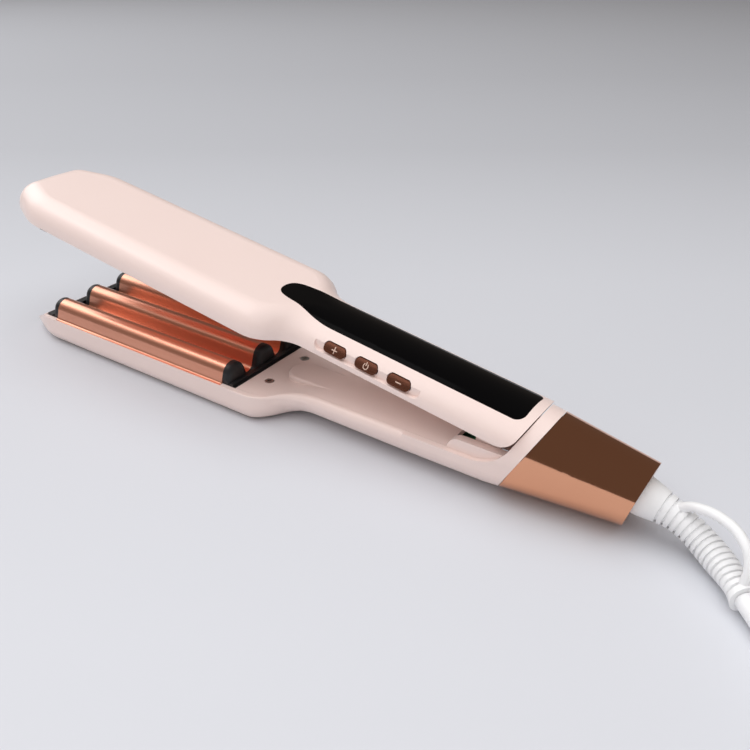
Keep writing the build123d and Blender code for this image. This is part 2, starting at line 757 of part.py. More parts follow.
with BuildPart() as lower_sensor:
    with BuildSketch(Plane.YZ.offset(heater_x - sensor_length / 2)):
        with Locations((0, valley_underside_z + sensor_radius)):
            Circle(sensor_radius)
    extrude(amount=sensor_length)
lower_sensor.part.label = "lower_sensor"

# ---- power board in the lower handle
with BuildPart() as power_board:
    with BuildSketch(Plane.XY.offset(power_board_z)):
        with Locations((power_board_x, 0)):
            Rectangle(power_board_length, power_board_width)
    extrude(amount=power_board_thickness)
    board_top_z = power_board_z + power_board_thickness
    with BuildSketch(Plane.XY.offset(board_top_z)):
        with Locations((power_board_x - power_board_length / 4, 0)):
            Rectangle(relay_length, relay_width)
        with Locations((power_board_x, 3.0), (power_board_x + power_board_length / 4, -3.0)):
            Circle(capacitor_radius)
    extrude(amount=component_height)
power_board.part.label = "power_board"

# ---- hinge pin and torsion spring
with BuildPart() as hinge_pin:
    with BuildSketch(Plane.XZ.offset(pin_near_end)):
        with Locations((pin_x, pin_z)):
            Circle(pin_radius)
    extrude(amount=-pin_near_end - cheek_half_width)
    chamfer(edges(), 0.3)
hinge_pin.part.label = "hinge_pin"

spring_radius = pin_radius + spring_wire / 2 + motion_gap
spring_pitch = spring_wire + 0.2
spring_length = spring_turns * spring_pitch
with BuildPart() as torsion_spring:
    with BuildLine():
        coil_line = Helix(
            spring_pitch, spring_length, spring_radius,
            center=(pin_x, -spring_length / 2, pin_z), direction=(0, 1, 0))
    with BuildSketch(Plane(origin=coil_line @ 0, z_dir=coil_line % 0)):
        Circle(spring_wire / 2)
    sweep(path=coil_line, is_frenet=True)
torsion_spring.part.label = "torsion_spring"

# ---- end cap on the collar, with its spigot, and the rear opening for the swivel
cap_end_center = slanted_plane(cap_end_x, cap_end_slant).from_local_coords(
    (0, (cap_rear_z - pin_z) / cos(radians(cap_end_slant)), 0))
cap_end_plane = Plane(
    origin=cap_end_center, x_dir=(0, 1, 0), z_dir=slanted_plane(cap_end_x, cap_end_slant).z_dir)
with BuildPart() as end_cap:
    loft([collar_front_section(0.0, collar_band + seam_gap), cap_rear_section(0.0)], ruled=True)
    loft(
        [collar_front_section(cap_wall, collar_band + seam_gap), cap_rear_section(cap_wall, -cap_rear_wall)],
        ruled=True, mode=Mode.SUBTRACT)
    spigot_inset = wall + fit_gap
    seam_reach = collar_band + seam_gap
    loft(
        [collar_front_section(spigot_inset, seam_reach - cap_spigot),
         collar_front_section(spigot_inset, seam_reach)], ruled=True)
    loft(
        [collar_front_section(cap_wall - fit_gap, seam_reach),
         collar_front_section(cap_wall - fit_gap, seam_reach + spigot_wall)], ruled=True)
    loft(
        [collar_front_section(spigot_inset + spigot_wall, seam_reach - cap_spigot),
         collar_front_section(spigot_inset + spigot_wall, seam_reach + 2 * spigot_wall)],
        ruled=True, mode=Mode.SUBTRACT)
    with BuildSketch(cap_end_plane):
        Circle(hub_radius + motion_gap)
    extrude(amount=-2 * cap_rear_wall, mode=Mode.SUBTRACT)
end_cap.part.label = "end_cap"

# ---- upper shell, drawn closed: head, neck, handle and the hinge knuckles under its rear end
upper_outer = arm_form(upper_section, 0.0, 0.0, head_rear_x, collar_x + 12.0)
upper_lens_seat = arm_form(upper_section, lens_thickness + fit_gap, 0.0, head_rear_x, collar_x + 12.0)
upper_lens_form = arm_form(upper_section, lens_thickness, 0.0, head_rear_x, collar_x + 12.0)
upper_inner = arm_form(upper_section, wall, wall, head_rear_x, collar_x + 12.0)
rear_slant = collar_slant - open_angle
rear_distance = collar_reach * cos(radians(collar_slant)) - rest_gap
upper_rear_x = pin_x + rear_distance / cos(radians(rear_slant))
upper_rear_plane = slanted_plane(upper_rear_x, rear_slant)
rear_lean = tan(radians(rear_slant))


def screen_plan(clearance):
    """Plan of the screen: pointed round tip, straight sides, rounded rear corners."""
    tip = frame_rear_x + screen_tip - clearance
    rear = tip + screen_length + 2 * clearance
    half = screen_half_width + clearance
    side_x = tip + screen_tip_length
    with BuildSketch() as outline:
        with BuildLine():
            near = Spline((side_x, -half), (tip + screen_tip_length / 3, -half * 0.7), (tip, 0),
                          tangents=((-1, 0), (0, 1)))
            far = Spline((tip, 0), (tip + screen_tip_length / 3, half * 0.7), (side_x, half),
                         tangents=((0, 1), (1, 0)))
            FilletPolyline(
                far @ 1, (rear, half), (rear, -half), near @ 0, radius=screen_rear_corner)
        make_face()
    return outline.sketch


with BuildPart() as head_cavity:
    with BuildSketch(Plane.XY.offset(upper_edge_z - wall)):
        with Locations((frame_tip_x + frame_length / 2, 0)):
            Rectangle(frame_length + 2 * fit_gap, 2 * (upper_frame_half_width + fit_gap))
    extrude(amount=upper_top_z - upper_edge_z)
    head_inner_corner = upper_corner - wall
    fillet(edges().group_by(Axis.Z)[-1].filter_by(Axis.X), head_inner_corner)

with BuildPart() as handle_cavity:
    add(upper_inner)
    with BuildSketch(Plane.XY.offset(upper_edge_z - wall)):
        with Locations((frame_rear_x + wall + fit_gap, 0)):
            Rectangle(
                cover_rear_x - frame_rear_x - wall - fit_gap, 2 * head_half_width,
                align=(Align.MIN, Align.CENTER))
    extrude(amount=upper_top_z, mode=Mode.INTERSECT)
    extrude(
        cover_plan(frame_rear_x + wall + fit_gap, cover_rear_x, wall - cover_ledge).move(
            Location((0, 0, upper_edge_z - wall))),
        amount=wall + upper_cover_thickness)

with BuildPart() as screen_recess:
    extrude(screen_plan(fit_gap / 2), amount=2 * upper_top_z)
    add(upper_lens_seat, mode=Mode.SUBTRACT)

first_button_x = frame_tip_x + button_middle
button_places = [
    (first_button_x + (index - (button_count - 1) / 2) * button_pitch, button_z)
    for index in range(button_count)
]

with BuildPart() as button_pad:
    with BuildSketch(Plane.XZ.offset(button_seat_y)):
        with Locations((first_button_x, upper_edge_z + upper_cover_thickness + fit_gap)):
            Rectangle(panel_length, upper_top_z - upper_edge_z, align=(Align.CENTER, Align.MIN))
    extrude(amount=handle_half_width)
    add(upper_outer, mode=Mode.INTERSECT)

with BuildPart() as upper_shell:
    extrude(nose_outline().move(Location((0, 0, upper_edge_z))), amount=upper_top_z - upper_edge_z)
    top_edges = edges().group_by(Axis.Z)[-1].filter_by_position(Axis.X, nose_x - 1, head_rear_x - 0.5)
    fillet(top_edges, upper_corner)
    add(upper_outer)
    # rear end: slanted like the collar, with a rounded lower corner
    with BuildSketch(Plane.XZ):
        with BuildLine():
            FilletPolyline(
                (nose_x - wall, upper_top_z + wall),
                (nose_x - wall, upper_edge_z),
                (upper_rear_x + (upper_edge_z - pin_z) * rear_lean, upper_edge_z),
                (upper_rear_x + (upper_top_z + wall - pin_z) * rear_lean, upper_top_z + wall),
                radius=[0, upper_rear_corner],
            )
            Line(
                (upper_rear_x + (upper_top_z + wall - pin_z) * rear_lean, upper_top_z + wall),
                (nose_x - wall, upper_top_z + wall),
            )
        make_face()
    extrude(amount=2 * head_half_width, both=True, mode=Mode.INTERSECT)
    # hinge knuckles on each side of the torsion spring
    with BuildSketch(Plane.XZ):
        with Locations((pin_x, pin_z)):
            Circle(barrel_radius)
        with Locations((pin_x - barrel_radius, pin_z)):
            Rectangle(1.6 * barrel_radius, upper_edge_z - pin_z + 1.0, align=(Align.MIN, Align.MIN))
    extrude(amount=well_half_width - motion_gap, both=True)
    add(head_cavity.part, mode=Mode.SUBTRACT)
    add(handle_cavity.part, mode=Mode.SUBTRACT)
    add(button_pad.part)
    with BuildSketch(Plane.XZ.offset(-spring_slot / 2)):
        with Locations((pin_x, pin_z)):
            Rectangle(2 * barrel_radius + 1.0, 2 * (upper_edge_z - pin_z))
    extrude(amount=spring_slot, mode=Mode.SUBTRACT)
    add(screen_recess.part, mode=Mode.SUBTRACT)
    # window for the display under the screen
    with BuildSketch(Plane.XY.offset(upper_edge_z + wall)):
        with Locations((display_x, 0)):
            Rectangle(display_length + 2 * fit_gap, display_width + 2 * fit_gap)
    extrude(amount=upper_top_z, mode=Mode.SUBTRACT)
    # button panel, button holes and the flat seat for the buttons' flanges
    with BuildSketch(Plane.XZ.offset(handle_half_width)):
        with Locations((first_button_x, button_z)):
            SlotOverall(panel_length, panel_height)
    extrude(amount=-handle_half_width + panel_floor_y, mode=Mode.SUBTRACT)
    with BuildSketch(Plane.XZ.offset(handle_half_width)):
        with Locations(*button_places):
            SlotOverall(button_length + 2 * motion_gap, button_height + 2 * motion_gap)
    extrude(amount=-handle_half_width + button_seat_y - wall, mode=Mode.SUBTRACT)
    with BuildSketch(Plane.XZ.offset(button_seat_y)):
        with Locations(*button_places):
            SlotOverall(
                button_length + 2 * button_flange + 4 * motion_gap,
                button_height + 2 * button_flange + 2 * motion_gap)
    extrude(amount=-2 * wall, mode=Mode.SUBTRACT)
    # ribs over the plate frame and bosses for the cover's screws
    with BuildSketch(Plane.XY.offset(upper_frame_top_z + fit_gap)):
        with Locations((frame_tip_x + frame_length / 2, 0)):
            with GridLocations(frame_length / (rib_count + 1), 1, rib_count, 1):
                Rectangle(rib_thickness, 2 * (upper_frame_half_width - head_inner_corner))
    extrude(amount=upper_top_z - wall - upper_frame_top_z + fit_gap)
    with BuildSketch(Plane.XY.offset(upper_edge_z + upper_cover_thickness + fit_gap)):
        with Locations((screw_x, screw_spread), (screw_x, -screw_spread)):
            Circle(boss_radius)
    extrude(until=Until.NEXT)
    with BuildSketch(Plane.XY.offset(upper_edge_z + upper_cover_thickness)):
        with Locations((screw_x, screw_spread), (screw_x, -screw_spread)):
            Circle(screw_shank_radius + 0.05)
    extrude(amount=screw_thread_length, mode=Mode.SUBTRACT)
    with BuildSketch(Plane.XZ.offset(-2 * handle_half_width)):
        with Locations((pin_x, pin_z)):
            Circle(pin_radius + pin_running_fit)
    extrude(amount=4 * handle_half_width, mode=Mode.SUBTRACT)

# ---- upper cover, plate frame, plate and what they hold
with BuildPart() as upper_cover:
    cover_start = frame_rear_x + wall + 2 * fit_gap
    extrude(
        cover_plan(cover_start, cover_rear_x - fit_gap, wall - cover_ledge + fit_gap).move(
            Location((0, 0, upper_edge_z))),
        amount=upper_cover_thickness)
    with Locations(
        Location((screw_x, screw_spread, upper_edge_z), (180, 0, 0)),
        Location((screw_x, -screw_spread, upper_edge_z), (180, 0, 0)),
    ):
        CounterBoreHole(screw_shank_radius + 0.1, screw_bore, screw_head_height, 2 * cover_thickness)

with BuildPart() as upper_screws:
    for side in (-1, 1):
        add(screw(screw_x, side * screw_spread, upper_edge_z + screw_head_height, -1))

upper_line = upper_wave_line(-plate_mesh_gap)
upper_topside = upper_wave_line(-plate_mesh_gap - plate_thickness)
plate_flat_z = crest_z + plate_mesh_gap + plate_thickness
with BuildPart() as upper_plate_frame:
    with BuildSketch(Plane.XY.offset(upper_frame_face_z)):
        with Locations((frame_tip_x + frame_length / 2, 0)):
            Rectangle(frame_length, 2 * upper_frame_half_width)
    extrude(amount=upper_frame_top_z - upper_frame_face_z)
    with BuildSketch(Plane.XY.offset(upper_frame_face_z)):
        with Locations((plate_tip_x + plate_length / 2, 0)):
            Rectangle(plate_length + 2 * end_wall_length, 2 * upper_frame_half_width)
    extrude(amount=plate_flat_z - upper_frame_face_z, mode=Mode.SUBTRACT)
    with BuildSketch(Plane.XY.offset(upper_frame_face_z)):
        with Locations((plate_tip_x + plate_length / 2, 0)):
            Rectangle(plate_length, 2 * (upper_frame_half_width - frame_rail))
    extrude(amount=upper_frame_floor_z - upper_frame_face_z, mode=Mode.SUBTRACT)
    with BuildPart(mode=Mode.PRIVATE) as upper_walls:
        for plate_end_x, side in ((plate_tip_x, -1), (plate_rear_x, 1)):
            add(end_wall(plate_end_x, upper_line, upper_frame_floor_z, side, end_wall_length - motion_gap))
    add(upper_walls.part)

with BuildPart() as upper_wave_plate:
    extrude(wave_section(plate_tip_x, upper_line, upper_frame_top_z), amount=plate_length)
    extrude(
        wave_section(plate_tip_x, upper_topside, upper_frame_top_z),
        amount=plate_length, mode=Mode.SUBTRACT)

with BuildPart() as upper_heater:
    with BuildSketch(Plane.XY.offset(plate_flat_z)):
        with Locations((heater_x, 0)):
            RectangleRounded(heater_length, heater_width, 1.0)
    extrude(amount=heater_thickness)

with BuildPart() as upper_mica_sheet:
    with BuildSketch(Plane.XY.offset(plate_flat_z + heater_thickness)):
        with Locations((heater_x, 0)):
            RectangleRounded(heater_length + 8.0, heater_width + 6.0, 2.0)
    extrude(amount=mat_thickness)

upper_sensor_y = upper_frame_half_width - frame_rail - sensor_radius - fit_gap
with BuildPart() as upper_sensor:
    with BuildSketch(Plane.YZ.offset(heater_x - sensor_length / 2)):
        with Locations((upper_sensor_y, plate_flat_z + sensor_radius)):
            Circle(sensor_radius)
    extrude(amount=sensor_length)

# ---- screen and its electronics
with BuildPart() as screen_lens:
    add(upper_outer)
    extrude(screen_plan(0.0), amount=2 * upper_top_z, mode=Mode.INTERSECT)
    add(upper_lens_form, mode=Mode.SUBTRACT)

display_top_z = upper_top_z - wall
display_side_drop = upper_corner * 0.1
control_board_top_z = display_top_z - display_height - display_side_drop
with BuildPart() as display_module:
    with BuildSketch(Plane.XY.offset(control_board_top_z)):
        with Locations((display_x, 0)):
            Rectangle(display_length, display_width)
    extrude(amount=display_height)

with BuildPart() as control_board:
    with BuildSketch(Plane.XY.offset(control_board_top_z - board_thickness)):
        with Locations((display_x, switch_side_gap)):
            Rectangle(control_board_length, control_board_width)
    extrude(amount=board_thickness)
    post_spread = control_board_width - 4 * screw_shank_radius
    cover_top_z = upper_edge_z + upper_cover_thickness
    with BuildSketch(Plane.XY.offset(cover_top_z)):
        with Locations((display_x, switch_side_gap)):
            with GridLocations(control_board_length - 6.0, post_spread, 2, 2):
                Circle(screw_shank_radius)
    extrude(amount=control_board_top_z - board_thickness - cover_top_z)

plunger_y = button_seat_y - motion_gap - button_flange_thickness - button_travel - pin_fit
switch_y = plunger_y - plunger_height
button_board_y = switch_y - switch_height
with BuildPart() as tact_switches:
    with BuildSketch(Plane.XZ.offset(button_board_y)):
        with Locations(*button_places):
            Rectangle(4.0, 3.0)
    extrude(amount=switch_height)
    with BuildSketch(Plane.XZ.offset(switch_y)):
        with Locations(*button_places):
            Circle(plunger_radius)
    extrude(amount=plunger_height)

with BuildPart() as button_board:
    with BuildSketch(Plane.XZ.offset(button_board_y - board_thickness)):
        with Locations((first_button_x, cover_top_z)):
            Rectangle(panel_length - 4.0, 2 * (button_z - cover_top_z), align=(Align.CENTER, Align.MIN))
    extrude(amount=board_thickness)

# ---- pill buttons: their faces follow the shell
button_names = ["plus", "power", "minus"]
buttons = []
for name, place in zip(button_names, button_places):
    with BuildPart() as button:
        with BuildSketch(Plane.XZ.offset(button_seat_y - motion_gap)):
            with Locations(place):
                SlotOverall(button_length, button_height)
        extrude(amount=handle_half_width)
        add(upper_outer, mode=Mode.INTERSECT)
        with BuildSketch(Plane.XZ.offset(button_seat_y - motion_gap - button_flange_thickness)):
            with Locations(place):
                SlotOverall(button_length + 2 * button_flange, button_height + 2 * button_flange)
        extrude(amount=button_flange_thickness)
    buttons.append((f"button_{name}", button.part))

# ---- swivel: a flanged hub held in the end cap
with BuildPart() as swivel_hub:
    hub_depth = cap_rear_wall * cap_end_plane.z_dir.X + motion_gap
    with BuildSketch(cap_end_plane):
        Circle(hub_radius)
    extrude(amount=-hub_depth)
    with BuildSketch(cap_end_plane.offset(-hub_depth)):
        Circle(hub_flange_radius)
    extrude(amount=-hub_flange_thickness)
swivel_hub.part.label = "swivel_hub"

def tube(route, radius):
    """Round strand along straight runs joined by arcs as large as the runs allow."""
    route = [Vector(*point) for point in route]
    bends = []
    for before, corner, after in zip(route, route[1:], route[2:]):
        turn = radians((corner - before).get_angle(after - corner))
        bends.append(0.45 * min((corner - before).length, (after - corner).length) / tan(turn / 2))
    with BuildPart() as strand:
        with BuildLine() as path:
            FilletPolyline(*route, radius=bends)
        line = path.wires()[0]
        with BuildSketch(Plane(origin=line @ 0, z_dir=line % 0)) as section:
            Circle(radius)
        sweep(path=line)
    ratio = strand.part.volume / (section.sketch.area * line.length)
    print("strand radii", [round(bend, 1) for bend in bends], "length", round(line.length, 1),
          "volume ratio", round(ratio, 4))
    return strand.part


# ---- strain relief: bent tapered boot, slit from the sides and below, with a hanging loop
with BuildLine() as boot_line:
    Spline(cap_end_center, *boot_points, tangents=(cap_end_plane.z_dir, boot_tip_heading))
boot_path = boot_line.edges()[0]


def boot_plane(share):
    """Plane across the boot, its local Y pointing up."""
    tangent = boot_path % share
    return Plane(origin=boot_path @ share, x_dir=tangent.cross(Vector(0, 0, 1)), z_dir=tangent)


def boot_radius(share):
    """Radius of the boot, straight between its listed stations."""
    for (start, radius), (stop, next_radius) in zip(boot_shape, boot_shape[1:]):
        if start <= share <= stop:
            return radius + (next_radius - radius) * (share - start) / (stop - start)


with BuildPart() as strain_relief:
    for share, radius in boot_shape:
        with BuildSketch(boot_plane(share)):
            Circle(radius)
    loft()
    for slit in range(slit_count):
        share = slit_first + (slit_last - slit_first) * slit / (slit_count - 1)
        radius = boot_radius(share)
        with BuildSketch(boot_plane(share).offset(-slit_width / 2)):
            Circle(radius + slit_depth)
            Circle(radius - slit_depth, mode=Mode.SUBTRACT)
            with Locations((0, slit_top * radius)):
                Rectangle(3 * radius, radius, align=(Align.CENTER, Align.MIN), mode=Mode.SUBTRACT)
        extrude(amount=slit_width, mode=Mode.SUBTRACT)
    add(tube(loop_points, loop_radius))
strain_relief.part.label = "strain_relief"


# ---- cord: a lead from the boot, the outer shape of the tied hank and a tail to the plug on it
with BuildPart() as mains_cord:
    add(tube([boot_points[-1], *lead_points], cord_radius))
mains_cord.part.label = "mains_cord"

with BuildPart() as cord_hank:
    with BuildSketch():
        with Locations(hank_center):
            for radius, mode in ((hank_outer_radius, Mode.ADD), (hank_inner_radius, Mode.SUBTRACT)):
                SlotOverall(hank_straight + 2 * radius, 2 * radius, mode=mode)
    extrude(amount=hank_height)
    fillet(edges(), hank_round)
cord_hank.part.label = "cord_hank"

with BuildPart() as cord_tail:
    add(tube(tail_points, cord_radius))
cord_tail.part.label = "cord_tail"

# ---- plug: flat tapered body and its two pins
plug_base = Plane(origin=tail_points[-1], x_dir=plug_heading, z_dir=(0, 0, 1))
with BuildPart() as plug_body:
    with BuildSketch(plug_base.offset(-plug_thickness / 2)):
        with BuildLine():
            body_line = FilletPolyline(
                (0, -plug_tail_half_width),
                (plug_shoulder, -plug_half_width),
                (plug_length, -plug_half_width),
                (plug_length, plug_half_width),
                (plug_shoulder, plug_half_width),
                (0, plug_tail_half_width),
                radius=[plug_shoulder, plug_edge_round, plug_edge_round, plug_shoulder],
            )
            Line(body_line @ 1, body_line @ 0)
        make_face()
    extrude(amount=plug_thickness)
    fillet(edges().group_by(Axis.Z)[0] + edges().group_by(Axis.Z)[-1], plug_edge_round)
plug_body.part.label = "plug_body"

with BuildPart() as plug_pins:
    with BuildSketch(Plane(
            origin=plug_base.from_local_coords((plug_length, 0, 0)), x_dir=plug_base.y_dir,
            z_dir=plug_heading)):
        with GridLocations(plug_pin_spacing, 1, 2, 1):
            Circle(plug_pin_radius)
    extrude(amount=plug_pin_length)
    fillet(edges().group_by(Axis(plug_base.origin, plug_heading))[-1], plug_pin_radius / 2)
plug_pins.part.label = "plug_pins"

# ---- the upper arm's pieces, turned open about the hinge pin
upper_pieces = {
    "upper_shell": upper_shell.part,
    "upper_cover": upper_cover.part,
    "upper_screws": upper_screws.part,
    "upper_plate_frame": upper_plate_frame.part,
    "upper_wave_plate": upper_wave_plate.part,
    "upper_mica_sheet": upper_mica_sheet.part,
    "upper_heater": upper_heater.part,
    "upper_sensor": upper_sensor.part,
    "screen_lens": screen_lens.part,
    "display_module": display_module.part,
    "control_board": control_board.part,
    "button_board": button_board.part,
    "tact_switches": tact_switches.part,
}
upper_pieces.update(buttons)
pieces = [
    lower_shell.part, lower_cover.part, lower_screws.part, lower_plate_frame.part, lower_wave_plate.part,
    lower_mica_sheet.part, lower_heater.part, lower_sensor.part, power_board.part, hinge_pin.part,
    torsion_spring.part, end_cap.part, swivel_hub.part, strain_relief.part, mains_cord.part,
    cord_hank.part, cord_tail.part, plug_body.part, plug_pins.part,
]
for name, piece in upper_pieces.items():
    turned = piece.rotate(hinge_axis, open_angle)
    turned.label = name
    pieces.append(turned)

os.makedirs("parts", exist_ok=True)
for piece in pieces:
    print(piece.label, len(piece.solids()), round(piece.volume, 1), piece.is_valid)
    export_step(piece, f"parts/{piece.label}.step")
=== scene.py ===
from math import cos, radians, sin

import bpy
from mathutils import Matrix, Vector


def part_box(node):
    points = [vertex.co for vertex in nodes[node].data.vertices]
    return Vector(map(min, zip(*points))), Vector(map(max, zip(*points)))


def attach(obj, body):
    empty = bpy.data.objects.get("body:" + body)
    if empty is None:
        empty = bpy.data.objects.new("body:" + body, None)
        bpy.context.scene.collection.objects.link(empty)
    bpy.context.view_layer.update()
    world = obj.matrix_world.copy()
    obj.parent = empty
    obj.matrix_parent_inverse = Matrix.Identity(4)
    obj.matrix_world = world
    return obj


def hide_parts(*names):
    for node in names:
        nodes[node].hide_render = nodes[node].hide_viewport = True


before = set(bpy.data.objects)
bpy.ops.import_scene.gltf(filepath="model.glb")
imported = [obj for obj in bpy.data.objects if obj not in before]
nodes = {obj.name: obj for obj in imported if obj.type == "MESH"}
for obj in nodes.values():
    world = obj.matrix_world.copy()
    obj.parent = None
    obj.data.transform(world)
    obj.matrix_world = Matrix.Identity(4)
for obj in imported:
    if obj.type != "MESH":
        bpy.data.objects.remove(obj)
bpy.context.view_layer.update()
mm = 0.001
print("frame loaded:", len(nodes), "nodes")


def deselectAll():
    if bpy.context.object and bpy.context.object.mode != "OBJECT":
        bpy.ops.object.mode_set(mode="OBJECT")
    bpy.ops.object.select_all(action="DESELECT")


def workOn(thing):
    deselectAll()
    thing.select_set(True)
    bpy.context.view_layer.objects.active = thing


def nameNew(name):
    made = bpy.context.object
    made.name = made.data.name = name
    return made


def selectEdges(thing, wanted):
    # leaves the object in edit mode, with only the edges whose two ends are wanted
    bpy.ops.object.mode_set(mode="EDIT")
    bpy.ops.mesh.select_mode(type="EDGE")
    bpy.ops.mesh.select_all(action="DESELECT")
    bpy.ops.object.mode_set(mode="OBJECT")
    for edge in thing.data.edges:
        edge.select = wanted(*[thing.data.vertices[corner].co for corner in edge.vertices])
    bpy.ops.object.mode_set(mode="EDIT")


# camera

cameraView = {
    "place": (0.19338, -0.22422, 0.18236),
    "lookDown": 30.209,
    "turn": 34.641,
    "lens": 40.87,
    "sensor": 36.0,
    "clipStart": 0.01,
}


def placeCamera():
    deselectAll()
    bpy.ops.object.camera_add(
        location=cameraView["place"],
        rotation=(radians(90 - cameraView["lookDown"]), 0, radians(cameraView["turn"])),
    )
    camera = nameNew("studioCamera")
    camera.data.lens = cameraView["lens"]
    camera.data.sensor_width = cameraView["sensor"]
    camera.data.clip_start = cameraView["clipStart"]
    bpy.context.scene.camera = camera


placeCamera()
print("camera placed")

# mains cord: from the strain relief's tip to the table, folded into a tied hank, and on to the plug

cordRoute = {  # places are in millimetres
    "radius": 3.0 * mm,
    "length": 1.8,
    "smoothness": 6,
    "lead": [
        (179.0, -18.5, 5.0), (188.7, -28.3, 3.6), (199.8, -38.2, 3.05), (209.3, -44.2, 3.0),
        (227.8, -50.3, 3.0),
    ],
    "bendCenters": [(250.8, -14.3), (227.8, -14.3)],
    "bendStations": 8,
    "lanes": [  # radius and height of each turn
        (36.0, 3.0), (30.0, 3.0), (24.0, 3.0), (18.0, 3.0),
        (18.0, 9.05), (24.0, 9.05), (30.0, 9.05), (36.0, 9.05),
    ],
    "changeStations": (6, 13),  # between them a turn moves over to the next lane
    "rise": [  # radius and height of the last turn from the first of those stations on
        (36.2, 9.5), (36.2, 10.3), (36.2, 11.5), (36.8, 13.0), (36.4, 14.5), (35.4, 15.6), (33.9, 16.4),
        (32.0, 17.2), (29.6, 18.0), (26.6, 18.7),
    ],
    "tail": [(223.8, -39.3, 19.0), (232.15, -39.3, 19.0)],
}


def laneAt(turn, station):
    lanes = cordRoute["lanes"]
    first, last = cordRoute["changeStations"]
    if turn == len(lanes) - 1:
        return lanes[turn] if station < first else cordRoute["rise"][station - first]
    share = min(max((station - first) / (last - first), 0), 1)
    share = share * share * (3 - 2 * share)  # eased in and out
    return [here + (there - here) * share for here, there in zip(lanes[turn], lanes[turn + 1])]


def hankPoints():
    points = []
    stations = cordRoute["bendStations"]
    stepAngle = 180 / (stations - 1)
    pullIn = (3 + cos(radians(stepAngle))) / 4  # the spline runs this much inside its points
    for turn in range(len(cordRoute["lanes"])):
        for station in range(2 * stations):
            bend, step = divmod(station, stations)
            radius, height = laneAt(turn, station)
            if 0 < step < stations - 1:
                radius /= pullIn
            angle = radians(180 * bend - 90 + stepAngle * step)
            centerX, centerY = cordRoute["bendCenters"][bend]
            points.append((centerX + radius * cos(angle), centerY + radius * sin(angle), height))
    return points


def makeCord():
    points = cordRoute["lead"] + hankPoints() + cordRoute["tail"]
    line = bpy.data.curves.new("mainsCord", "CURVE")
    line.dimensions = "3D"
    line.bevel_depth = cordRoute["radius"]
    line.bevel_resolution = line.resolution_u = cordRoute["smoothness"]
    line.use_fill_caps = True
    spline = line.splines.new("NURBS")
    spline.points.add(len(points) - 1)
    for point, place in zip(spline.points, points):
        point.co = (*[part * mm for part in place], 1)
    spline.order_u = 3
    spline.use_endpoint_u = True
    cord = bpy.data.objects.new("mainsCord", line)
    bpy.context.scene.collection.objects.link(cord)
    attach(cord, "cord_swivel_body")
    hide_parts("mains_cord", "cord_hank", "cord_tail")
    return cord


cordTie = {  # millimetres
    "middle": (239.3, 12.7, 6.2),
    "size": (7.0, 24.6, 12.4),
    "thickness": 0.6,
    "round": 2.6,
    "roundSteps": 8,
    "cutLonger": 2.4,  # the block that hollows the band is this much longer than the band
}


def makeTieBlock(inset, longer):
    deselectAll()
    bpy.ops.mesh.primitive_cube_add(size=1)
    block = nameNew("cordTie")
    length, width, height = cordTie["size"]
    block.scale = ((length + longer) * mm, (width - 2 * inset) * mm, (height - 2 * inset) * mm)
    bpy.ops.object.transform_apply(location=False, rotation=False, scale=True)
    selectEdges(block, lambda start, end: abs(start.x - end.x) > mm)
    bpy.ops.mesh.bevel(offset=(cordTie["round"] - inset) * mm, segments=cordTie["roundSteps"])
    bpy.ops.object.mode_set(mode="OBJECT")
    block.location = [part * mm for part in cordTie["middle"]]
    bpy.ops.object.transform_apply(location=True, rotation=False, scale=False)
    return block


def makeTie():
    # a flat band round the hank's far side
    band = makeTieBlock(0, 0)
    core = makeTieBlock(cordTie["thickness"], cordTie["cutLonger"])
    workOn(band)
    cut = band.modifiers.new("hollow", "BOOLEAN")
    cut.operation = "DIFFERENCE"
    cut.object = core
    bpy.ops.object.modifier_apply(modifier="hollow")
    bpy.data.objects.remove(core)
    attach(band, "cord_swivel_body")
    return band


mainsCord = makeCord()
tie = makeTie()
print("cord laid")


class Wire:
    # a node's output that takes part in sums
    def __init__(self, finish, socket):
        self.finish, self.socket = finish, socket

    def math(self, operation, first, second):
        return self.finish.node("ShaderNodeMath", {"operation": operation}, {0: first, 1: second})

    def __add__(self, other):
        return self.math("ADD", self, other)

    def __radd__(self, other):
        return self.math("ADD", other, self)

    def __sub__(self, other):
        return self.math("SUBTRACT", self, other)

    def __rsub__(self, other):
        return self.math("SUBTRACT", other, self)

    def __mul__(self, other):
        return self.math("MULTIPLY", self, other)

    def __rmul__(self, other):
        return self.math("MULTIPLY", other, self)


